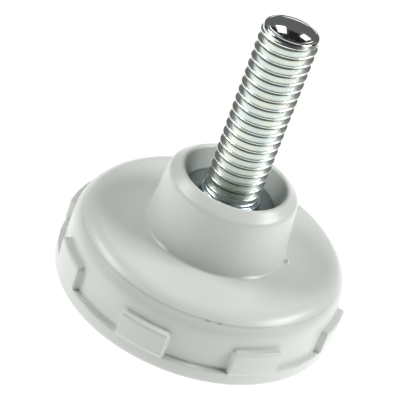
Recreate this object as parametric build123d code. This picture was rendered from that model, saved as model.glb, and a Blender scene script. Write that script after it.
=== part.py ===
from build123d import *
from math import radians, sqrt, tan
import os

# A screw-in levelling foot: a moulded plastic base with a threaded steel stud moulded into it, head down.
# Millimetres, +Z up. The origin is the centre of the underside, on the surface that the foot stands on.

# Disc of the base
disc_height = 11.65
wall_radius = 23.6
wall_draft = 3.0
disc_edge_rounding = 4.0

# Flange round the bottom of the disc
flange_radius = 24.5
flange_height = 2.5
flange_top_rounding = 0.25
flange_bottom_rounding = 0.5

# Shallow relief of the underside, so that the foot stands on its outer ring
relief_radius = 17.0
relief_depth = 0.8

# Grip lugs round the wall
lug_count = 8
lug_radius = 24.8
lug_height = 6.8
lug_width = 8.6
lug_side_draft = 9.0
lug_side_rounding = 0.6
lug_edge_rounding = 0.5

# Collar round the stud, with a sloped rim and a recess inside
collar_foot_radius = 12.0
collar_foot_fillet = 0.4
collar_draft = 6.0
rim_height = 23.2
rim_radius = 8.6
rim_slope = 36.0
rim_outer_rounding = 1.3
rim_inner_rounding = 0.5
recess_depth = 4.4
recess_draft = 12.0

# Stud: a flanged hex bolt of 3/8 inch, 16 threads to the inch
stud_diameter = 9.525
stud_height = 51.3
thread_pitch = 1.5875
thread_depth_share = 0.6
thread_crest_share = 0.125
thread_flank_angle = 30.0
tip_radius = 4.28
tip_chamfer_height = 0.8
tip_dome_rise = 0.5
neck_ledge = 1.54
neck_height = 0.6
neck_edge_rounding = 0.25
neck_fillet = 1.0
neck_shoulder = 0.2
bolt_flange_radius = 9.5
bolt_flange_thickness = 2.0
hex_across_flats = 14.29
hex_height = 5.5


def turned(outline, roundings):
    """Turn a closed outline of (radius, height) points about the upright axis, with some corners rounded."""
    with BuildSketch(Plane.XZ) as section:
        with BuildLine():
            Polyline(*outline, close=True)
        make_face()
        for corner, rounding in roundings:
            fillet(section.vertices().sort_by_distance(Vector(*corner))[0], rounding)
    return revolve(section.sketch, Axis.Z, 360)


def thread_grooves(start, end):
    """Corners of the grooves between two heights: a closed ring to each pitch stands for the helix."""
    crest_radius = stud_diameter / 2
    depth = thread_depth_share * thread_pitch
    flank = depth * tan(radians(thread_flank_angle))
    mouth = (1 - thread_crest_share) * thread_pitch
    corners = []
    for pitches_below_end in range(int((end - start) / thread_pitch), 0, -1):
        low = end - pitches_below_end * thread_pitch
        corners += [
            (crest_radius, low),
            (crest_radius - depth, low + flank),
            (crest_radius - depth, low + mouth - flank),
            (crest_radius, low + mouth),
        ]
    return corners


def stud_body():
    """The bolt: domed tip, threaded shank, raised neck and flange, turned, with the hex head under them."""
    shank_radius = stud_diameter / 2
    neck_radius = shank_radius + neck_ledge
    floor = rim_height - recess_depth
    neck_top = floor + neck_height
    thread_start = neck_top + neck_fillet + neck_shoulder
    tip_edge = stud_height - tip_dome_rise
    thread_end = tip_edge - tip_chamfer_height
    flange_bottom = floor - bolt_flange_thickness
    with BuildSketch(Plane.XZ) as section:
        with BuildLine():
            Polyline(
                (0, flange_bottom),
                (bolt_flange_radius, flange_bottom),
                (bolt_flange_radius, floor),
                (neck_radius, floor),
                (neck_radius, neck_top),
                (shank_radius, neck_top),
                *thread_grooves(thread_start, thread_end),
                (shank_radius, thread_end),
                (tip_radius, tip_edge),
            )
            ThreePointArc((tip_radius, tip_edge), dome_point(tip_edge), (0, stud_height))
            Line((0, stud_height), (0, flange_bottom))
        make_face()
        for corner, rounding in (
            ((shank_radius, neck_top), neck_fillet),
            ((neck_radius, neck_top), neck_edge_rounding),
        ):
            fillet(section.vertices().sort_by_distance(Vector(*corner))[0], rounding)
    bolt = revolve(section.sketch, Axis.Z, 360)
    hexagon = RegularPolygon(hex_across_flats / 2, 6, major_radius=False)
    head = extrude(Plane.XY.offset(flange_bottom - hex_height) * hexagon, hex_height)
    return bolt + head


def dome_point(tip_edge):
    """A point half way along the dome's arc, which meets the axis at a right angle."""
    ball_radius = (tip_radius**2 + tip_dome_rise**2) / (2 * tip_dome_rise)
    centre_height = stud_height - ball_radius
    radius = tip_radius / 2
    return (radius, centre_height + sqrt(ball_radius**2 - radius**2))


def disc_and_collar():
    """The turned form of the base: relief, flange, drafted wall, flat top, tapered collar and recess."""
    wall_top_radius = wall_radius - (disc_height - flange_height) * tan(radians(wall_draft))
    floor = rim_height - recess_depth
    floor_radius = rim_radius - recess_depth * tan(radians(recess_draft))
    taper = tan(radians(collar_draft))
    slope = tan(radians(rim_slope))
    rise = rim_height - disc_height
    shoulder_radius = (collar_foot_radius - (rise + rim_radius * slope) * taper) / (1 - slope * taper)
    shoulder_height = rim_height - (shoulder_radius - rim_radius) * slope
    outline = [
        (0, relief_depth),
        (relief_radius, relief_depth),
        (relief_radius + relief_depth, 0),
        (flange_radius, 0),
        (flange_radius, flange_height),
        (wall_radius, flange_height),
        (wall_top_radius, disc_height),
        (collar_foot_radius, disc_height),
        (shoulder_radius, shoulder_height),
        (rim_radius, rim_height),
        (floor_radius, floor),
        (0, floor),
    ]
    roundings = [
        ((flange_radius, 0), flange_bottom_rounding),
        ((flange_radius, flange_height), flange_top_rounding),
        ((wall_top_radius, disc_height), disc_edge_rounding),
        ((collar_foot_radius, disc_height), collar_foot_fillet),
        ((shoulder_radius, shoulder_height), rim_outer_rounding),
        ((rim_radius, rim_height), rim_inner_rounding),
    ]
    return turned(outline, roundings)


def lugs():
    """The grip lugs: drafted blocks with rounded upright edges, and a finer rounding round top and bottom."""
    root_radius = relief_radius + relief_depth
    narrowing = tan(radians(lug_side_draft))
    root_half = lug_width / 2 + (wall_radius - root_radius) * narrowing
    far_radius = lug_radius + lug_side_rounding
    far_half = lug_width / 2 - (far_radius - wall_radius) * narrowing
    with BuildSketch() as plan:
        with BuildLine():
            Polyline(
                (root_radius, -root_half),
                (far_radius, -far_half),
                (far_radius, far_half),
                (root_radius, root_half),
                close=True,
            )
        make_face()
        Circle(lug_radius, mode=Mode.INTERSECT)
        corners = plan.vertices().sort_by(Axis.X)[-2:]
        fillet(corners, lug_side_rounding)
    block = extrude(plan.sketch, lug_height)
    lug = fillet(block.faces().filter_by(Plane.XY).edges(), lug_edge_rounding)
    return [Rot(0, 0, 360 / lug_count * turn) * lug for turn in range(lug_count)]


def base_body(stud):
    """The moulding: disc, collar and lugs in one piece, with the bolt's form left in it."""
    body = disc_and_collar()
    for lug in lugs():
        body += lug
    return body - stud


threaded_stud = stud_body()
foot_base = base_body(threaded_stud)

os.makedirs("parts", exist_ok=True)
for name, piece in (("foot_base", foot_base), ("threaded_stud", threaded_stud)):
    piece.label = name
    export_step(piece, f"parts/{name}.step")
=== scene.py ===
from math import asin, cos, pi, radians, sin, sqrt, tan

import bmesh
import bpy
from bpy.props import FloatProperty, FloatVectorProperty, IntProperty, PointerProperty
from bpy.types import Operator, Panel, PropertyGroup
from mathutils import Matrix, Vector


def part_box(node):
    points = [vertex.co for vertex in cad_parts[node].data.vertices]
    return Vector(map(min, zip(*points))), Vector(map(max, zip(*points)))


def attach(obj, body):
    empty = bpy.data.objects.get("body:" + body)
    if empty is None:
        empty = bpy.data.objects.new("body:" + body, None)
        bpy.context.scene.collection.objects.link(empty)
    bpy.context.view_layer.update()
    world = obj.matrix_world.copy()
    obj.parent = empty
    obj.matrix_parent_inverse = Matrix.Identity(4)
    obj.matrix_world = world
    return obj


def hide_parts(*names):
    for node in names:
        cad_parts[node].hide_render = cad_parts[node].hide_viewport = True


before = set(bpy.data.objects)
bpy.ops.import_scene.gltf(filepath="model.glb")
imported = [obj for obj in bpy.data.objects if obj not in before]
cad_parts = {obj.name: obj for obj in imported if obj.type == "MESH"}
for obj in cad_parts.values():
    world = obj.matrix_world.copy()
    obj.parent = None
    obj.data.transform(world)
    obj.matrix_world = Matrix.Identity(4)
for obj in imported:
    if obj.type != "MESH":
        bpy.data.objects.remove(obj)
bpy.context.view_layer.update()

bl_info = {
    "name": "Levelling foot",
    "version": (1, 0, 0),
    "blender": (4, 5, 0),
    "location": "3D View > Sidebar > Foot",
    "description": "Builds a moulded levelling foot with a rolled thread, and the studio that shows it",
    "category": "Object",
}

MM = 0.001
INCH = 25.4 * MM
THREADS_TO_THE_INCH = 16
BASE_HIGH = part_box("foot_base")[1]
STUD_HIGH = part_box("threaded_stud")[1]
SAME_PLACE = 1e-7

# How finely the meshes are drawn

ARC_STEPS = 12
BEND_WEIGHT = 0.6 * MM
LUG_COLUMNS = (4, 5, 12, 6)
LUG_TOP_DIGITS = 6
BURR_COLUMNS = 18
BURR_COLUMN_REACH = 3
UNDERSIDE_ROWS = 16
WALL_ROWS = (10, 18, 4, 20)
UPPER_ROWS = 140
NECK_ROWS = 60
DOME_ROWS = 14
THREAD_COLUMNS = 96
THREAD_ROWS = 26
THREAD_ARC_STEPS = 4
THREAD_BEND_WEIGHT = 0.3 * MM
TURNS_BELOW = 2
TURNS_ABOVE = 3

# Fine form of the moulded base

RELIEF_MIDDLE = 0.5 * MM
RELIEF_ROUNDING = 0.3 * MM
RING_RADIUS = 21.5 * MM
FLANGE_FOOT_ROUNDING = 0.5 * MM
FLANGE_MIDDLE = 1.6 * MM
FLANGE_TOP_ROUNDING = 0.25 * MM
WALL_FOOT_ROUNDING = 0.12 * MM
WALL_LOW = 3.2 * MM
WALL_HIGH = 5.2 * MM
WALL_JOIN = 7.5 * MM
LUG_INSET = 0.15 * MM
LUG_FOOT = 0.2 * MM
LUG_MARGIN = radians(0.5)
LUG_EDGE_BLEND = 0.4
LUG_ROOT_BLEND = 0.25
LUG_EDGE_SHARE = 0.9
LUG_JOIN_ROUNDING = 0.15 * MM
EDGE_LINE_TILT = radians(44)
EDGE_LINE_STEP = 0.07 * MM
EDGE_LINE_ROUNDING = 0.03 * MM
EDGE_ARC_SHARE = 0.9
COLLAR_FOOT_ROUNDING = 0.4 * MM
RIM_OUTER_ROUNDING = 1.3 * MM
RIM_INNER_ROUNDING = 0.5 * MM

# Marks that the mould leaves

FLASH_ARCS = ((radians(238), radians(255)), (radians(311), radians(335)))
FLASH_HEIGHT = 0.20 * MM
FLASH_REACH = 0.45 * MM
FLASH_LEAN = (0.5, 0.85)
BURR_RADIUS = 12.8 * MM
BURR_AZIMUTH = radians(6.6)
BURR_HEIGHT = 0.5 * MM
BURR_SPREAD = 0.28 * MM
BURR_LENGTHENING = 3
BURR_CUT = 0.02

# Shares of the thread's pitch

THREAD_DEPTH = 0.6134
CREST_WIDTH = 0.125
THREAD_FADE_IN = 0.5
THREAD_FADE_OUT = 0.6

# Fine form of the stud

THREAD_FLANK = radians(30)
CREST_ROUNDING = 0.12 * MM
ROOT_ROUNDING = 0.12 * MM
FLANGE_ROUNDING = 0.1 * MM
BEAD_FOOT_ROUNDING = 0.3 * MM
BEAD_ROUNDING = 0.25 * MM
GROOVE_DEPTH = 0.30 * MM
GROOVE_RISE = 0.08 * MM
GROOVE_ROUNDING = 0.2 * MM

# Detail of the noises

PLAIN_DETAIL = 2.0
FINE_DETAIL = 3.0

# Where a Mix node has its two colours and its result

MIX_FIRST = 6
MIX_SECOND = 7
MIX_RESULT = 2

# Plastic

MOTTLE_SCALE = 55.0
MOTTLE_RANGE = (0.985, 1.015)
GRAIN_SCALE = 2600.0
GRAIN_BUMP = 0.05
BUMP_DISTANCE = 0.02 * MM
PLASTIC_ROUGHNESS = 0.29
MOTTLE_ROUGHNESS = 0.06
PLASTIC_IOR = 1.5
# Colour of the specks of dirt, and of the painted shade under the mould line's step
DIRT_AND_SHADE_COLOUR = (0.25, 0.26, 0.24)
DIRT_CORE = 0.3
DIRT_SHARE = 0.45
DIRT_SPECKS = (
    (22.25 * MM, radians(291.4), 10.38 * MM, 0.34 * MM),
    (22.25 * MM, radians(292.4), 10.32 * MM, 0.26 * MM),
    (22.25 * MM, radians(296.2), 10.34 * MM, 0.34 * MM),
    (22.25 * MM, radians(297.2), 10.28 * MM, 0.30 * MM),
)
# Heights of a dark line of painted shade under the mould line's small step, and its strength
SHADE_LINE_LOW = (10.02 * MM, 10.30 * MM)
SHADE_LINE_HIGH = (10.34 * MM, 10.42 * MM)
SHADE_LINE_SHARE = 0.03
SHADE_LINE_MOTTLE = 0.22

# Zinc

STREAKS_ROUND = 1.6
STREAKS_UP = 5500.0
STREAK_RANGE = (0.80, 1.08)
STREAK_BUMP = 0.04
CLOUD_SCALE = 320.0
CLOUD_EDGES = (0.35, 0.65)
TINT_SHARE = 0.25
TINT_BLUE = (0.62, 0.76, 0.80)
TINT_STRAW = (0.90, 0.90, 0.76)
# Painted shade: darker towards the bottom of the thread
LOW_SHADE_HEIGHTS = (21.0 * MM, 32.0 * MM)
LOW_SHADE_SHARE = 0.45
LOW_SHADE_COLOUR = (0.46, 0.52, 0.46)
# Painted shade in the thread's roots
ROOT_SHADE_REACH = 0.11 * MM
ROOT_SHADE_SHARE = 0.95
ROOT_SHADE_COLOUR = (0.08, 0.09, 0.09)
# Painted shade at the neck, with a bluish painted reflection
NECK_SHADE_HEIGHTS = (19.9 * MM, 21.2 * MM)
NECK_SHADE_SHARE = 0.85
NECK_SHADE_COLOUR = (0.52, 0.63, 0.71)
# Painted shade and dark reflection on the flange in the recess; the flange is also made rougher
FLANGE_EDGES = (-0.05 * MM, 0.15 * MM)
FLANGE_SHADE_SHARE = 0.9
FLANGE_SHADE_COLOUR = (0.22, 0.26, 0.25)
DOME_DEPTHS = (1.0 * MM, 0.5 * MM)
ZINC_ROUGHNESS = 0.24
STREAK_ROUGHNESS = 0.08
DOME_POLISH = 0.2
FLANGE_DULLNESS = 0.2

# Studio, with the name, turn from the camera, elevation, width and height of each lamp

LAMP_AIM = 15 * MM
LAMP_DISTANCE = 0.6
LAMPS = (
    ("left_lamp", radians(-91), radians(42.5), 0.31, 0.16),
    ("right_lamp", radians(95), radians(42.5), 0.31, 0.16),
    ("top_lamp", pi, radians(75), 0.4, 0.3),
)

# Cards, as the lamps, with the share of the cards' radiance at the end

CARD_DISTANCE = 0.8
CARDS = (
    ("left_card", radians(-169.4), radians(40.7), 0.10, 0.22, 1.0),
    ("right_card", radians(166.4), radians(37.2), 0.085, 0.15, 1.0),
    ("low_left_card", radians(-75), radians(12), 0.28, 0.20, 1.0),
    ("low_right_card", radians(75), radians(12), 0.28, 0.20, 1.0),
    ("back_card", pi, radians(19), 1.5, 0.58, 0.05),
)

# Room, floor and camera

WHITE = (1.0, 1.0, 1.0)
ROOM_STOPS = ((0.0, 0.03), (0.50, 0.03), (0.64, 0.015))
FLOOR_DROP = 0.02 * MM
FLOOR_COLOUR = (0.8, 0.8, 0.8)
FLOOR_GLOW = 1.15
FLOOR_GLOW_SHARE = 0.8
SENSOR_WIDTH = 36
CLIP_START = 0.01


# Properties

def length(name, millimetres, description):
    """A length in metres, with its default given in millimetres."""
    return FloatProperty(
        name=name, description=description, default=millimetres * MM, min=0.0, precision=5, unit="LENGTH"
    )


def angle(name, degrees, description):
    """An angle, with its default given in degrees."""
    return FloatProperty(name=name, description=description, default=radians(degrees), subtype="ANGLE")


def number(name, default, description):
    """A plain number."""
    return FloatProperty(name=name, description=description, default=default)


def colour(name, default, description):
    """A colour, with its default given as linear red, green and blue."""
    return FloatVectorProperty(
        name=name, description=description, default=default, size=3, min=0.0, max=1.0, subtype="COLOR"
    )


class FootBaseSizes(PropertyGroup):
    """Sizes and colour of the moulded base."""

    disc_height: length("Disc height", 11.65, "Height of the flat top")
    wall_radius: length("Wall radius", 23.6, "Radius of the wall at the flange")
    wall_draft: angle("Wall draft", 3.0, "Lean of the wall, so that it leaves the mould")
    disc_edge: length("Disc edge", 4.0, "Rounding between the wall and the flat top")
    flange_radius: length("Flange radius", 24.5, "Radius of the thin flange round the bottom")
    flange_height: length("Flange height", 2.5, "Height of the flange's ledge")
    relief_radius: length("Relief radius", 17.0, "Radius of the relief in the underside")
    relief_depth: length("Relief depth", 0.8, "Depth of the relief in the underside")
    lug_count: IntProperty(name="Lugs", description="Number of grip lugs", default=8, min=2, max=16)
    lug_radius: length("Lug radius", (BASE_HIGH.x - LUG_INSET) / MM, "Radius over the lugs, above the flange")
    lug_height: length("Lug height", 6.8, "Height of the lugs")
    lug_width: length("Lug width", 8.6, "Width of a lug where it leaves the wall")
    lug_draft: angle("Lug draft", 9.0, "Lean of a lug's sides, seen from above")
    lug_edge: length("Lug edge", 0.5, "Rounding of a lug's top edge")
    lug_corner: length("Lug corner", 0.8, "Rounding of a lug's two upper corners, seen from the front")
    collar_radius: length("Collar radius", 12.0, "Radius of the collar at its foot")
    collar_draft: angle("Collar draft", 6.0, "Lean of the collar's wall")
    rim_height: length("Rim height", 23.2, "Height of the rim's inner corner, before it is rounded")
    rim_radius: length("Rim radius", 8.6, "Radius of the rim's inner corner")
    rim_slope: angle("Rim slope", 36.0, "Fall of the rim's sloped face towards the outside")
    recess_depth: length("Recess depth", 4.4, "Depth of the recess inside the rim")
    recess_draft: angle("Recess draft", 12.0, "Lean of the recess's wall")
    plastic: colour("Plastic", (0.70, 0.73, 0.69), "Colour of the moulded plastic")


class FootStudSizes(PropertyGroup):
    """Sizes and colour of the threaded stud."""

    crest_radius: length("Crest radius", 4.70, "Radius over the thread's crests")
    pitch: length("Pitch", INCH / MM / THREADS_TO_THE_INCH, "Distance between one crest and the next")
    tip_height: length("Tip height", STUD_HIGH.z / MM, "Height of the top of the domed tip")
    tip_radius: length("Tip radius", 4.28, "Radius of the tip's edge")
    tip_rise: length("Tip rise", 0.5, "Rise of the tip above the top of its chamfer")
    dome_radius: length("Dome radius", 3.95, "Radius of the dome inside the tip's rounded lip")
    dome_rise: length("Dome rise", 0.6, "Rise of the dome")
    lip_rounding: length("Lip rounding", 0.35, "Rounding between the chamfer and the dome")
    chamfer: length("Chamfer", 0.8, "Height of the chamfer below the tip")
    thread_height: length("Thread height", 20.10, "Height at which a crest of the thread passes over +X")
    neck_radius: length("Neck radius", 5.05, "Radius of the bead under the thread")
    neck_height: length("Neck height", 1.05, "Height of the bead above the recess's floor")
    neck_fillet: length("Neck fillet", 0.40, "Height between the bead and the thread")
    flange_radius: length("Flange radius", STUD_HIGH.x / MM, "Radius of the bolt's flange")
    flange_thickness: length("Flange thickness", 2.0, "Thickness of the bolt's flange")
    hex_flats: length("Across flats", 14.29, "Width of the hex head across its flats")
    hex_height: length("Hex height", 5.5, "Height of the hex head")
    zinc: colour("Zinc", (0.86, 0.90, 0.855), "Colour of the zinc plate")


class FootStudio(PropertyGroup):
    """Floor, lamps and camera."""

    floor_size: length("Floor size", 6000.0, "Width of the floor")
    camera_distance: length("Camera distance", 255.13, "From the middle of the underside to the camera")
    camera_azimuth: angle("Camera azimuth", 282.2, "Where the camera stands, counted from +X")
    camera_elevation: angle("Camera elevation", 36.06, "Height of the camera above the horizon")
    camera_roll: angle("Camera roll", 20.87, "Turn of the picture about the line of sight")
    camera_right: number("Aim right", -0.0173, "Tangent of the aim's angle to the right of the origin")
    camera_up: number("Aim up", 0.0533, "Tangent of the aim's angle above the origin")
    camera_lens: number("Lens", 135.62, "Focal length in millimetres, for a sensor of 36 mm")
    left_lamp_strength: number("Left lamp", 11.4, "Radiance of the lamp on the camera's left")
    right_lamp_strength: number("Right lamp", 15.4, "Radiance of the lamp on the camera's right")
    top_lamp_strength: number("Top lamp", 1.3, "Radiance of the lamp overhead")
    card_strength: number("Cards", 2.0, "Radiance of the white cards round the object")
    floor_strength: number("Floor bounce", 1.28, "Radiance with which the white floor lights the object")


# Shader nodes

class Value:
    """A number that varies over a surface. Its operators add Math nodes."""

    def __init__(self, surface, socket):
        self.surface = surface
        self.socket = socket

    def __add__(self, other):
        return self.surface.maths("ADD", self, other)

    def __sub__(self, other):
        return self.surface.maths("SUBTRACT", self, other)

    def __rsub__(self, other):
        return self.surface.maths("SUBTRACT", other, self)

    def __mul__(self, other):
        return self.surface.maths("MULTIPLY", self, other)

    __radd__ = __add__
    __rmul__ = __mul__


class Node:
    """One node of a surface, with its outputs as values or sockets."""

    def __init__(self, surface, made):
        self.surface = surface
        self.made = made

    def value(self, name=0):
        return Value(self.surface, self.made.outputs[name])

    def out(self, name=0):
        return self.made.outputs[name]


class Surface:
    """A node tree with its output node, and the one method that adds nodes to it."""

    def __init__(self, tree, output):
        tree.nodes.clear()
        self.tree = tree
        self.output = self.node(output).made

    def node(self, kind, settings=None, inputs=None):
        """Adds a node with its settings, and sets or links its inputs."""
        made = self.tree.nodes.new(kind)
        for name, setting in (settings or {}).items():
            if name == "stops":
                self.set_stops(made.color_ramp, setting)
            else:
                setattr(made, name, setting)
        for name, given in (inputs or {}).items():
            if isinstance(given, Value):
                given = given.socket
            if isinstance(given, bpy.types.NodeSocket):
                self.tree.links.new(given, made.inputs[name])
            else:
                made.inputs[name].default_value = given
        return Node(self, made)

    def set_stops(self, ramp, stops):
        """Gives a ramp its stops, each a place and a shade of grey."""
        while len(ramp.elements) < len(stops):
            ramp.elements.new(0.5)
        for element, (place, grey) in zip(ramp.elements, stops):
            element.position = place
            element.color = (grey, grey, grey, 1.0)

    def show(self, shader):
        """Links a shader to the output node."""
        self.tree.links.new(shader.out(), self.output.inputs["Surface"])

    def maths(self, operation, first, second):
        """A Math node's result. The inputs are values or numbers."""
        return self.node("ShaderNodeMath", {"operation": operation}, {0: first, 1: second}).value()

    def vector(self, x, y):
        """A vector with no height."""
        return self.node("ShaderNodeCombineXYZ", None, {"X": x, "Y": y}).out()

    def smooth(self, value, low, high):
        """0 below low, 1 above high, and a smooth step between them."""
        settings = {"interpolation_type": "SMOOTHSTEP"}
        ends = {"Value": value, "From Min": low, "From Max": high}
        return self.node("ShaderNodeMapRange", settings, ends).value()

    def noise(self, place, scale, detail):
        """Soft random cloudiness, from 0 to 1."""
        inputs = {"Vector": place, "Scale": scale, "Detail": detail}
        return self.node("ShaderNodeTexNoise", None, inputs).value("Fac")

    def bump(self, height, strength):
        """The normal of a surface with a fine relief."""
        inputs = {"Height": height, "Strength": strength, "Distance": BUMP_DISTANCE}
        return self.node("ShaderNodeBump", None, inputs).out()

    def mix(self, factor, first, second):
        """A colour between two others."""
        inputs = {"Factor": factor, MIX_FIRST: opaque(first), MIX_SECOND: opaque(second)}
        return self.node("ShaderNodeMix", {"data_type": "RGBA"}, inputs).out(MIX_RESULT)

    def mix_shaders(self, factor, first, second):
        """A shader between two others."""
        return self.node("ShaderNodeMixShader", None, {"Fac": factor, 1: first.out(), 2: second.out()})


def opaque(shade):
    """A red, green and blue with a full alpha, or a socket as it is."""
    return shade if isinstance(shade, bpy.types.NodeSocket) else (*shade, 1.0)


def new_material(name):
    """An empty material, and its surface."""
    material = bpy.data.materials.new(name)
    material.use_nodes = True
    return material, Surface(material.node_tree, "ShaderNodeOutputMaterial")


def plastic_material(sizes):
    """Satin moulded plastic with faint mottling, fine grain, specks of dirt, and a dark line of painted shade
    under the mould line's step.
    """
    material, surface = new_material("moulded_grey_plastic")
    place = surface.node("ShaderNodeTexCoord").out("Object")
    mottle = surface.noise(place, MOTTLE_SCALE, FINE_DETAIL)
    grain = surface.noise(place, GRAIN_SCALE, PLAIN_DETAIL)
    pale = Vector(sizes.plastic)
    base_colour = surface.mix(mottle, pale * MOTTLE_RANGE[0], pale * MOTTLE_RANGE[1])
    for radius, azimuth, height, reach in DIRT_SPECKS:
        spot = Vector((radius * cos(azimuth), radius * sin(azimuth), height))
        away = surface.node("ShaderNodeVectorMath", {"operation": "DISTANCE"}, {0: place, 1: spot})
        dirt = 1.0 - surface.smooth(away.value("Value"), reach * DIRT_CORE, reach)
        base_colour = surface.mix(dirt * DIRT_SHARE, base_colour, DIRT_AND_SHADE_COLOUR)
    height = surface.node("ShaderNodeSeparateXYZ", None, {"Vector": place}).value("Z")
    # Painted shade: a mottled dark line under the mould line's step
    line = surface.smooth(height, *SHADE_LINE_LOW) * (1 - surface.smooth(height, *SHADE_LINE_HIGH))
    line_shade = line * (SHADE_LINE_SHARE + mottle * SHADE_LINE_MOTTLE)
    shader = surface.node("ShaderNodeBsdfPrincipled", None, {
        "Base Color": surface.mix(line_shade, base_colour, DIRT_AND_SHADE_COLOUR),
        "Roughness": PLASTIC_ROUGHNESS + mottle * MOTTLE_ROUGHNESS,
        "Normal": surface.bump(grain, GRAIN_BUMP),
        "IOR": PLASTIC_IOR,
    })
    surface.show(shader)
    return material


def zinc_material(stud):
    """Bright zinc plate with streaks as thread rolls leave them and pale tints. Painted shade darkens it
    towards the bottom, in the roots, at the neck (with a bluish painted reflection) and on the flange.
    """
    material, surface = new_material("bright_zinc_plate")
    place = surface.node("ShaderNodeTexCoord").out("Object")
    parts = surface.node("ShaderNodeSeparateXYZ", None, {"Vector": place})
    height = parts.value("Z")
    turn = surface.maths("ARCTAN2", parts.value("Y"), parts.value("X"))
    across = surface.vector(parts.value("X"), parts.value("Y"))
    reach = surface.node("ShaderNodeVectorMath", {"operation": "LENGTH"}, {0: across}).value("Value")
    streak = surface.noise(surface.vector(turn * STREAKS_ROUND, height * STREAKS_UP), 1.0, FINE_DETAIL)
    cloud = surface.smooth(surface.noise(place, CLOUD_SCALE, PLAIN_DETAIL), *CLOUD_EDGES)
    root_radius = stud.crest_radius - THREAD_DEPTH * stud.pitch
    low = 1 - surface.smooth(height, *LOW_SHADE_HEIGHTS)
    dome = surface.smooth(height, *(stud.tip_height - depth for depth in DOME_DEPTHS))
    root = 1 - surface.smooth(reach, root_radius, root_radius + ROOT_SHADE_REACH)
    neck = 1 - surface.smooth(height, *NECK_SHADE_HEIGHTS)
    flange = surface.smooth(reach, *(stud.neck_radius + beyond for beyond in FLANGE_EDGES))
    zinc = Vector(stud.zinc)
    streaked = surface.mix(streak, zinc * STREAK_RANGE[0], zinc * STREAK_RANGE[1])
    base_colour = surface.mix(TINT_SHARE, streaked, surface.mix(cloud, TINT_BLUE, TINT_STRAW))
    # Painted shade: towards the bottom, in the thread's roots, at the neck with a bluish painted reflection,
    # and on the flange
    for share, shade in (
        (low * LOW_SHADE_SHARE, LOW_SHADE_COLOUR),
        (root * (1 - dome) * ROOT_SHADE_SHARE, ROOT_SHADE_COLOUR),
        (neck * NECK_SHADE_SHARE, NECK_SHADE_COLOUR),
        (flange * FLANGE_SHADE_SHARE, FLANGE_SHADE_COLOUR),
    ):
        base_colour = surface.mix(share, base_colour, shade)
    rough = ZINC_ROUGHNESS + streak * STREAK_ROUGHNESS - dome * DOME_POLISH + flange * FLANGE_DULLNESS
    shader = surface.node("ShaderNodeBsdfPrincipled", None, {
        "Base Color": base_colour,
        "Metallic": 1.0,
        "Roughness": rough,
        "Normal": surface.bump(streak, STREAK_BUMP),
    })
    surface.show(shader)
    return material


# Outlines, in metres, as (radius, height)

def rounded(corners, steps=ARC_STEPS):
    """The points of an open outline of (radius, height, rounding) corners, with an arc for each rounding."""
    points = []
    for index, (radius, height, rounding) in enumerate(corners):
        here = Vector((radius, height))
        if rounding == 0:
            points.append(here)
            continue
        before = (Vector(corners[index - 1][:2]) - here).normalized()
        after = (Vector(corners[index + 1][:2]) - here).normalized()
        half = before.angle(after) / 2
        centre = here + (before + after).normalized() * rounding / sin(half)
        start = here + before * rounding / tan(half) - centre
        end = here + after * rounding / tan(half) - centre
        turn = start.angle(end)
        for step in range(steps + 1):
            share = step / steps
            points.append(centre + (start * sin((1 - share) * turn) + end * sin(share * turn)) / sin(turn))
    return points


def spaced(points, count, bend_weight=BEND_WEIGHT):
    """The outline as count points, set closer together where it bends."""
    measure = [0.0]
    for index in range(1, len(points)):
        run = points[index] - points[index - 1]
        before = points[index - 1] - points[index - 2] if index > 1 else run
        bend = run.angle(before) if run.length > SAME_PLACE and before.length > SAME_PLACE else 0.0
        measure.append(measure[-1] + run.length + bend * bend_weight)
    found, index = [], 1
    for step in range(count):
        goal = measure[-1] * step / (count - 1)
        while index < len(points) - 1 and measure[index] < goal:
            index += 1
        span = measure[index] - measure[index - 1]
        share = min(1.0, (goal - measure[index - 1]) / span) if span else 0.0
        found.append(points[index - 1].lerp(points[index], share))
    return found


def spread(start, end, count):
    """Evenly spaced values from start up to, but without, end."""
    return [start + (end - start) * step / count for step in range(count)]


def hex_reach(flats, azimuth):
    """Distance from the axis to the side of a hexagon with a corner on +X."""
    sector = pi / 3
    return flats / 2 / cos((azimuth % sector) - sector / 2)


def bolt_levels(sizes, stud):
    """Heights of the bolt's hex bottom, flange bottom, flange top, bead top and thread start."""
    floor = sizes.rim_height - sizes.recess_depth
    flange_bottom = floor - stud.flange_thickness
    neck_top = floor + stud.neck_height
    return flange_bottom - stud.hex_height, flange_bottom, floor, neck_top, neck_top + stud.neck_fillet


# Meshes

def add_point(grid, azimuth, radius, height):
    """A point of the mesh, at an azimuth and a radius."""
    return grid.verts.new((radius * cos(azimuth), radius * sin(azimuth), height))


def add_rings(grid, outlines, caps):
    """Faces through upright outlines that are set round the axis.

    outlines is a list of (azimuth, outline), and all outlines have as many points. Each cap is a
    (place, height): a point on the axis at that height closes the ring of the outlines' points at that place.
    """
    columns = [[add_point(grid, azimuth, *spot) for spot in outline] for azimuth, outline in outlines]
    poles = [(place, grid.verts.new((0, 0, height))) for place, height in caps]
    for here, following in zip(columns, columns[1:] + columns[:1]):
        for place, pole in poles:
            grid.faces.new((pole, following[place], here[place]))
        for row in range(len(here) - 1):
            grid.faces.new((here[row], following[row], following[row + 1], here[row + 1]))


def finished_mesh(name, grid):
    """Turns a bmesh into a smooth mesh, with doubled points joined and normals facing out."""
    bmesh.ops.remove_doubles(grid, verts=grid.verts, dist=SAME_PLACE)
    bmesh.ops.recalc_face_normals(grid, faces=grid.faces)
    mesh = bpy.data.meshes.new(name)
    grid.to_mesh(mesh)
    grid.free()
    mesh.shade_smooth()
    return mesh


def new_piece(name, mesh, material):
    """An object with one material, in the scene's collection."""
    piece = bpy.data.objects.new(name, mesh)
    mesh.materials.append(material)
    bpy.context.scene.collection.objects.link(piece)
    return piece


# Moulded base

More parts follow.
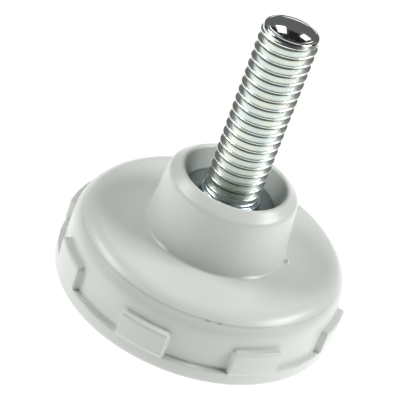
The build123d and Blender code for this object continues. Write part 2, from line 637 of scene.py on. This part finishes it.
def lug_offset(sizes, azimuth):
    """Angle between an azimuth and the middle of the nearest lug."""
    sector = 2 * pi / sizes.lug_count
    return abs((azimuth + sector / 2) % sector - sector / 2)


def lug_share(sizes, azimuth):
    """How far the wall has become a lug at an azimuth: 0 on the plain wall, 1 on the lug's face."""
    taper = tan(sizes.lug_draft)
    reach = (sizes.lug_width / 2 + sizes.wall_radius * taper) / (sin(lug_offset(sizes, azimuth)) + taper)
    share = (reach - sizes.wall_radius) / (sizes.lug_radius - sizes.wall_radius)
    share = min(share, 1.0) - max(LUG_EDGE_BLEND - abs(share - 1.0), 0.0) ** 2 / (4 * LUG_EDGE_BLEND)
    return max(share, 0.0) + max(LUG_ROOT_BLEND - abs(share), 0.0) ** 2 / (4 * LUG_ROOT_BLEND)


def lug_top(sizes, azimuth):
    """Height of a lug's top at an azimuth: it falls off in the rounded corners."""
    inside = sizes.lug_width / 2 - sizes.wall_radius * sin(lug_offset(sizes, azimuth))
    depth = min(max(sizes.lug_corner - inside, 0.0), sizes.lug_corner)
    return sizes.lug_height - sizes.lug_corner + sqrt(sizes.lug_corner ** 2 - depth ** 2)


def base_azimuths(sizes):
    """Azimuths of the mesh's columns, close together at the lugs' sides, the burr and the hex corners."""
    sector = 2 * pi / sizes.lug_count
    root = asin(sizes.lug_width / 2 / sizes.wall_radius)
    half_face = sizes.lug_width / 2 - (sizes.lug_radius - sizes.wall_radius) * tan(sizes.lug_draft)
    face = asin(half_face / sizes.lug_radius)
    corner = face - sizes.lug_corner / sizes.lug_radius
    stops = (0, corner, face - LUG_MARGIN, root + LUG_MARGIN, sector / 2)
    offsets = []
    for start, end, count in zip(stops, stops[1:], LUG_COLUMNS):
        offsets += spread(start, end, count)
    azimuths = []
    for lug in range(sizes.lug_count):
        azimuths += [lug * sector + offset for offset in offsets]
        azimuths += [lug * sector + sector - offset for offset in offsets[1:]]
        azimuths.append(lug * sector + sector / 2)
    azimuths += [turn * pi / 3 for turn in (1, 2, 4, 5)]
    reach = BURR_COLUMN_REACH * BURR_SPREAD / BURR_RADIUS
    azimuths += spread(BURR_AZIMUTH - reach, BURR_AZIMUTH + reach, BURR_COLUMNS)
    return sorted(azimuths)


def wall_reach(sizes, height):
    """Radius of the drafted wall at a height."""
    return sizes.wall_radius - (height - sizes.flange_height) * tan(sizes.wall_draft)


def underside_outline(sizes):
    """From the relief's middle out to the ring that the foot stands on."""
    return spaced(rounded([
        (RELIEF_MIDDLE, sizes.relief_depth, 0),
        (sizes.relief_radius, sizes.relief_depth, RELIEF_ROUNDING),
        (sizes.relief_radius + sizes.relief_depth, 0, RELIEF_ROUNDING),
        (RING_RADIUS, 0, 0),
    ]), UNDERSIDE_ROWS)


def wall_outlines(sizes, top):
    """The outlines of the plain wall and of a lug with its top at a height, matched point by point."""
    def on_wall(height):
        return (wall_reach(sizes, height), height, 0)

    flange, ledge, face = sizes.flange_radius, sizes.flange_height, sizes.lug_radius
    plain = [
        [(RING_RADIUS, 0, 0), (flange, 0, FLANGE_FOOT_ROUNDING), (flange, FLANGE_MIDDLE, 0)],
        [
            (flange, FLANGE_MIDDLE, 0),
            (flange, ledge, FLANGE_TOP_ROUNDING),
            (sizes.wall_radius, ledge, WALL_FOOT_ROUNDING),
            on_wall(WALL_LOW),
        ],
        [on_wall(WALL_LOW), on_wall(WALL_HIGH)],
        [on_wall(WALL_HIGH), on_wall(WALL_JOIN)],
    ]
    lug = [
        plain[0],
        [
            (flange, FLANGE_MIDDLE, 0),
            (flange, ledge - LUG_FOOT, 0),
            (face, ledge + LUG_FOOT, 0),
            (face, WALL_LOW, 0),
        ],
        [(face, WALL_LOW, 0), (face, WALL_HIGH, 0)],
        [
            (face, WALL_HIGH, 0),
            (face, top, min(sizes.lug_edge, LUG_EDGE_SHARE * (top - WALL_HIGH))),
            (wall_reach(sizes, top), top, LUG_JOIN_ROUNDING),
            on_wall(WALL_JOIN),
        ],
    ]
    plain_points, lug_points = [], []
    for count, plain_part, lug_part in zip(WALL_ROWS, plain, lug):
        plain_points += spaced(rounded(plain_part), count)
        lug_points += spaced(rounded(lug_part), count)
    return plain_points, lug_points


def disc_edge_corners(sizes):
    """The disc's rounded edge in two arcs, with the mould's fine line as a small step between them."""
    wall_top = wall_reach(sizes, sizes.disc_height)
    inset = sizes.disc_edge * tan(pi / 4 - sizes.wall_draft / 2)
    centre = Vector((wall_top - inset, sizes.disc_height - sizes.disc_edge))

    def arc_corner(start, end):
        middle = (start + end) / 2
        return centre + Vector((cos(middle), sin(middle))) * sizes.disc_edge / cos(middle - start)

    outward = Vector((cos(EDGE_LINE_TILT), sin(EDGE_LINE_TILT)))
    lower = arc_corner(sizes.wall_draft, EDGE_LINE_TILT)
    above = centre + outward * sizes.disc_edge
    below = above - outward * EDGE_LINE_STEP
    upper = arc_corner(EDGE_LINE_TILT, pi / 2)
    arc = EDGE_ARC_SHARE * sizes.disc_edge
    return [(*lower, arc), (*below, EDGE_LINE_ROUNDING), (*above, EDGE_LINE_ROUNDING), (*upper, arc)]


def upper_outline(sizes):
    """From the wall above the lugs, over the disc and the collar's sloped rim, to the recess's floor."""
    floor = sizes.rim_height - sizes.recess_depth
    floor_radius = sizes.rim_radius - sizes.recess_depth * tan(sizes.recess_draft)
    taper, slope = tan(sizes.collar_draft), tan(sizes.rim_slope)
    rise = sizes.rim_height - sizes.disc_height
    shoulder = (sizes.collar_radius - (rise + sizes.rim_radius * slope) * taper) / (1 - slope * taper)
    shoulder_height = sizes.rim_height - (shoulder - sizes.rim_radius) * slope
    return spaced(rounded([
        (wall_reach(sizes, WALL_JOIN), WALL_JOIN, 0),
        *disc_edge_corners(sizes),
        (sizes.collar_radius, sizes.disc_height, COLLAR_FOOT_ROUNDING),
        (shoulder, shoulder_height, RIM_OUTER_ROUNDING),
        (sizes.rim_radius, sizes.rim_height, RIM_INNER_ROUNDING),
        (floor_radius, floor, 0),
    ]), UPPER_ROWS)


def pocket_outline(sizes, stud, azimuth):
    """The plastic's inner face round the bolt's flange and hex head, at one azimuth."""
    hex_bottom, flange_bottom, floor = bolt_levels(sizes, stud)[:3]
    reach = hex_reach(stud.hex_flats, azimuth)
    return [
        Vector((stud.flange_radius, floor)),
        Vector((stud.flange_radius, flange_bottom)),
        Vector((reach, flange_bottom)),
        Vector((reach, hex_bottom)),
    ]


def moulding_mark(sizes, azimuth, spot):
    """The spot moved by the flash at the collar's foot and by the burr on the flat top."""
    foot = Vector((sizes.collar_radius, sizes.disc_height))
    near_foot = max(0.0, 1 - (spot - foot).length / FLASH_REACH)
    for start, end in FLASH_ARCS:
        if near_foot and start < azimuth < end:
            swell = sin(pi * (azimuth - start) / (end - start)) ** 0.5
            spot = spot + Vector(FLASH_LEAN) * FLASH_HEIGHT * swell * near_foot
    if abs(spot.y - sizes.disc_height) < BURR_HEIGHT:
        across = (spot.x - BURR_RADIUS) / BURR_SPREAD
        along = (azimuth - BURR_AZIMUTH) * BURR_RADIUS / BURR_SPREAD
        lump = 1 / (1 + (across ** 2 + along ** 2 / BURR_LENGTHENING) ** 2)
        spot = spot + Vector((0, BURR_HEIGHT * lump if lump > BURR_CUT else 0.0))
    return spot


def base_mesh(sizes, stud):
    """The moulded base as one closed mesh."""
    underside, upper = underside_outline(sizes), upper_outline(sizes)
    walls = {}
    outlines = []
    for azimuth in base_azimuths(sizes):
        share, top = lug_share(sizes, azimuth), round(lug_top(sizes, azimuth), LUG_TOP_DIGITS)
        if top not in walls:
            walls[top] = wall_outlines(sizes, top)
        wall = [plain.lerp(lug, share) for plain, lug in zip(*walls[top])]
        marked = [moulding_mark(sizes, azimuth, spot) for spot in upper]
        outlines.append((azimuth, underside + wall + marked + pocket_outline(sizes, stud, azimuth)))
    grid = bmesh.new()
    add_rings(grid, outlines, ((0, sizes.relief_depth), (-1, bolt_levels(sizes, stud)[0])))
    return finished_mesh("moulded_base", grid)


# Threaded stud

def thread_rows(stud):
    """One pitch of the thread, from crest to crest, as (share of the pitch, radius)."""
    depth = THREAD_DEPTH * stud.pitch
    flank = depth * tan(THREAD_FLANK)
    crest = CREST_WIDTH * stud.pitch / 2
    root = stud.crest_radius - depth
    outline = rounded([
        (0, stud.crest_radius, 0),
        (crest, stud.crest_radius, CREST_ROUNDING),
        (crest + flank, root, ROOT_ROUNDING),
        (stud.pitch - crest - flank, root, ROOT_ROUNDING),
        (stud.pitch - crest, stud.crest_radius, CREST_ROUNDING),
        (stud.pitch, stud.crest_radius, 0),
    ], THREAD_ARC_STEPS)
    points = spaced(outline, THREAD_ROWS + 1, THREAD_BEND_WEIGHT)
    return [(spot.x / stud.pitch, spot.y) for spot in points[:-1]]


def tip_outline(stud):
    """From the top of the chamfer over the rounded lip and up the dome, without the point on the axis."""
    tip_edge = stud.tip_height - stud.tip_rise
    ball = (stud.dome_radius ** 2 + stud.dome_rise ** 2) / (2 * stud.dome_rise)
    lip = rounded([
        (stud.crest_radius, tip_edge - stud.chamfer, 0),
        (stud.tip_radius, tip_edge, stud.lip_rounding),
        (stud.dome_radius, stud.tip_height - stud.dome_rise, 0),
    ])
    dome = [
        Vector((reach, stud.tip_height - ball + sqrt(ball ** 2 - reach ** 2)))
        for reach in spread(stud.dome_radius, 0, DOME_ROWS)
    ]
    return lip[1:-1] + dome


def smooth_step(share):
    """Eases a share from 0 to 1 in and out."""
    return share * share * (3 - 2 * share)


def thread_reach(stud, radius, height, start, end):
    """The thread's radius at a height: it fades in above its start and out below its end on the chamfer."""
    chamfer_start = stud.tip_height - stud.tip_rise - stud.chamfer
    body = stud.crest_radius
    if height > chamfer_start:
        body -= (stud.crest_radius - end.x) * (height - chamfer_start) / (end.y - chamfer_start)
    fade_in = min(1.0, (height - start) / (THREAD_FADE_IN * stud.pitch))
    fade_out = min(1.0, (end.y - height) / (THREAD_FADE_OUT * stud.pitch))
    cut = (stud.crest_radius - radius) * smooth_step(fade_in) * smooth_step(fade_out)
    return min(body, stud.crest_radius - cut)


def add_thread(grid, stud, start, end):
    """The helical thread, from the height where it starts to its end, a (radius, height) on the chamfer."""
    rows = thread_rows(stud)
    per_pitch = len(rows)
    pitches = int((end.y - start) / stud.pitch) + TURNS_ABOVE
    first = start + (stud.thread_height - start) % stud.pitch
    columns = []
    for column in range(THREAD_COLUMNS):
        turn = column / THREAD_COLUMNS
        azimuth = 2 * pi * turn
        points = []
        for row in range(-TURNS_BELOW * per_pitch, pitches * per_pitch):
            share, radius = rows[row % per_pitch]
            height = first + (row // per_pitch + share + turn) * stud.pitch
            height = min(max(height, start), end.y)
            reach = thread_reach(stud, radius, height, start, end)
            points.append(add_point(grid, azimuth, reach, height))
        columns.append(points)
    # One turn further up, the last column meets the first.
    columns.append(columns[0][per_pitch:])
    for here, following in zip(columns, columns[1:]):
        for row in range(min(len(here), len(following)) - 1):
            corners = (here[row], following[row], following[row + 1], here[row + 1])
            if len({corner.co.z for corner in corners}) > 1:
                grid.faces.new(corners)


def stud_mesh(sizes, stud):
    """The bolt as one closed mesh: hex head, flange, neck, thread and domed tip."""
    hex_bottom, flange_bottom, floor, neck_top, thread_start = bolt_levels(sizes, stud)
    azimuths = [2 * pi * column / THREAD_COLUMNS for column in range(THREAD_COLUMNS)]
    neck = spaced(rounded([
        (stud.flange_radius, flange_bottom, 0),
        (stud.flange_radius, floor, FLANGE_ROUNDING),
        (stud.neck_radius, floor, BEAD_FOOT_ROUNDING),
        (stud.neck_radius, neck_top, BEAD_ROUNDING),
        (stud.crest_radius - GROOVE_DEPTH, neck_top + GROOVE_RISE, GROOVE_ROUNDING),
        (stud.crest_radius, thread_start, 0),
    ]), NECK_ROWS)
    lower = []
    for azimuth in azimuths:
        reach = hex_reach(stud.hex_flats, azimuth)
        lower.append((azimuth, [Vector((reach, hex_bottom)), Vector((reach, flange_bottom)), *neck]))
    tip = tip_outline(stud)
    grid = bmesh.new()
    add_rings(grid, lower, ((0, hex_bottom),))
    add_thread(grid, stud, thread_start, tip[0])
    add_rings(grid, [(azimuth, tip) for azimuth in azimuths], ((-1, stud.tip_height),))
    return finished_mesh("threaded_bolt", grid)


# Studio

def direction(azimuth, elevation):
    """The direction from the object towards an azimuth and an elevation."""
    return Vector((cos(azimuth) * cos(elevation), sin(azimuth) * cos(elevation), sin(elevation)))


def add_camera(studio):
    """The camera at the photograph's viewing angle."""
    azimuth, roll = studio.camera_azimuth, studio.camera_roll
    towards = direction(azimuth, studio.camera_elevation)
    side = Vector((-sin(azimuth), cos(azimuth), 0))
    over = towards.cross(side)
    aim = (-towards + studio.camera_right * side + studio.camera_up * over).normalized()
    level = aim.cross(over).normalized()
    upright = level.cross(aim)
    right = level * cos(roll) + upright * sin(roll)
    up = upright * cos(roll) - level * sin(roll)
    place = towards * studio.camera_distance
    data = bpy.data.cameras.new("photo_camera")
    data.lens = studio.camera_lens
    data.sensor_width = SENSOR_WIDTH
    data.clip_start = CLIP_START
    camera = bpy.data.objects.new("photo_camera", data)
    camera.matrix_world = Matrix((
        (right.x, up.x, -aim.x, place.x),
        (right.y, up.y, -aim.y, place.y),
        (right.z, up.z, -aim.z, place.z),
        (0, 0, 0, 1),
    ))
    bpy.context.scene.collection.objects.link(camera)
    bpy.context.scene.camera = camera


def add_lamp(name, towards, distance, width, height, radiance, aim):
    """A soft rectangular lamp of a given radiance that faces the point on the axis at the aim's height."""
    data = bpy.data.lights.new(name, "AREA")
    data.shape = "RECTANGLE"
    data.size = width
    data.size_y = height
    data.energy = radiance * pi * width * height
    lamp = bpy.data.objects.new(name, data)
    lamp.location = towards * distance + Vector((0, 0, aim))
    lamp.rotation_euler = towards.to_track_quat("Z", "Y").to_euler()
    lamp.visible_camera = False
    bpy.context.scene.collection.objects.link(lamp)


def add_lamps(studio):
    """The lamps that light the object, and the cards that show in its metal."""
    side = studio.camera_azimuth
    strengths = (studio.left_lamp_strength, studio.right_lamp_strength, studio.top_lamp_strength)
    for (name, turn, elevation, width, height), radiance in zip(LAMPS, strengths):
        add_lamp(name, direction(side + turn, elevation), LAMP_DISTANCE, width, height, radiance, LAMP_AIM)
    for name, turn, elevation, width, height, share in CARDS:
        radiance = studio.card_strength * share
        add_lamp(name, direction(side + turn, elevation), CARD_DISTANCE, width, height, radiance, STUD_HIGH.z)


def floor_material(studio):
    """White floor: it has a faint shadow for the camera, lights the object and shows in its metal."""
    material, surface = new_material("white_floor")
    diffuse = surface.node("ShaderNodeBsdfDiffuse", None, {"Color": opaque(FLOOR_COLOUR)})
    glow = surface.node("ShaderNodeEmission", None, {"Color": opaque(WHITE), "Strength": FLOOR_GLOW})
    shown = surface.mix_shaders(FLOOR_GLOW_SHARE, diffuse, glow)
    bounce = surface.node("ShaderNodeEmission", None, {"Strength": studio.floor_strength})
    camera = surface.node("ShaderNodeLightPath").value("Is Camera Ray")
    surface.show(surface.mix_shaders(camera, bounce, shown))
    return material


def add_floor(studio):
    """The floor, a hair below the object, so that the two don't share a plane."""
    grid = bmesh.new()
    bmesh.ops.create_grid(grid, x_segments=1, y_segments=1, size=studio.floor_size / 2)
    mesh = bpy.data.meshes.new("studio_floor")
    grid.to_mesh(mesh)
    grid.free()
    floor = new_piece("studio_floor", mesh, floor_material(studio))
    floor.location.z = -FLOOR_DROP


def set_world():
    """White to the camera; to the object, a dark room that is darker still higher up."""
    world = bpy.data.worlds.new("studio_room")
    world.use_nodes = True
    surface = Surface(world.node_tree, "ShaderNodeOutputWorld")
    outward = surface.node("ShaderNodeTexCoord").out("Generated")
    height = surface.node("ShaderNodeSeparateXYZ", None, {"Vector": outward}).value("Z")
    room = surface.node("ShaderNodeValToRGB", {"stops": ROOM_STOPS}, {"Fac": height}).out()
    camera = surface.node("ShaderNodeLightPath").value("Is Camera Ray")
    shade = surface.mix(camera, room, WHITE)
    surface.show(surface.node("ShaderNodeBackground", None, {"Color": shade, "Strength": 1.0}))
    bpy.context.scene.world = world


# Operators

class FOOT_OT_base(Operator):
    """Build the moulded base in place of its solid"""

    bl_idname = "foot.base"
    bl_label = "Moulded base"

    def execute(self, context):
        scene = context.scene
        mesh = base_mesh(scene.foot_base, scene.foot_stud)
        piece = new_piece("moulded_base", mesh, plastic_material(scene.foot_base))
        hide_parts("foot_base")
        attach(piece, "root")
        return {"FINISHED"}


class FOOT_OT_stud(Operator):
    """Build the threaded stud in place of its solid"""

    bl_idname = "foot.stud"
    bl_label = "Threaded stud"

    def execute(self, context):
        scene = context.scene
        mesh = stud_mesh(scene.foot_base, scene.foot_stud)
        piece = new_piece("threaded_bolt", mesh, zinc_material(scene.foot_stud))
        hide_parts("threaded_stud")
        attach(piece, "root")
        return {"FINISHED"}


class FOOT_OT_studio(Operator):
    """Set up the floor, the room, the lamps and the camera"""

    bl_idname = "foot.studio"
    bl_label = "Studio"

    def execute(self, context):
        studio = context.scene.foot_studio
        add_floor(studio)
        set_world()
        add_camera(studio)
        add_lamps(studio)
        context.scene.view_settings.view_transform = "Standard"
        return {"FINISHED"}


class FOOT_PT_panel(Panel):
    """Lists the foot's pieces and their sizes"""

    bl_idname = "FOOT_PT_panel"
    bl_label = "Levelling foot"
    bl_space_type = "VIEW_3D"
    bl_region_type = "UI"
    bl_category = "Foot"

    def draw(self, context):
        groups = (
            ("foot.base", context.scene.foot_base),
            ("foot.stud", context.scene.foot_stud),
            ("foot.studio", context.scene.foot_studio),
        )
        for operator, settings in groups:
            box = self.layout.box()
            box.operator(operator)
            for name in settings.__annotations__:
                box.prop(settings, name)


CLASSES = (
    FootBaseSizes,
    FootStudSizes,
    FootStudio,
    FOOT_OT_base,
    FOOT_OT_stud,
    FOOT_OT_studio,
    FOOT_PT_panel,
)


def register():
    for each in CLASSES:
        bpy.utils.register_class(each)
    bpy.types.Scene.foot_base = PointerProperty(type=FootBaseSizes)
    bpy.types.Scene.foot_stud = PointerProperty(type=FootStudSizes)
    bpy.types.Scene.foot_studio = PointerProperty(type=FootStudio)


def unregister():
    del bpy.types.Scene.foot_studio
    del bpy.types.Scene.foot_stud
    del bpy.types.Scene.foot_base
    for each in reversed(CLASSES):
        bpy.utils.unregister_class(each)


def main():
    register()
    bpy.ops.foot.base()
    bpy.ops.foot.stud()
    bpy.ops.foot.studio()


if __name__ == "__main__":
    main()
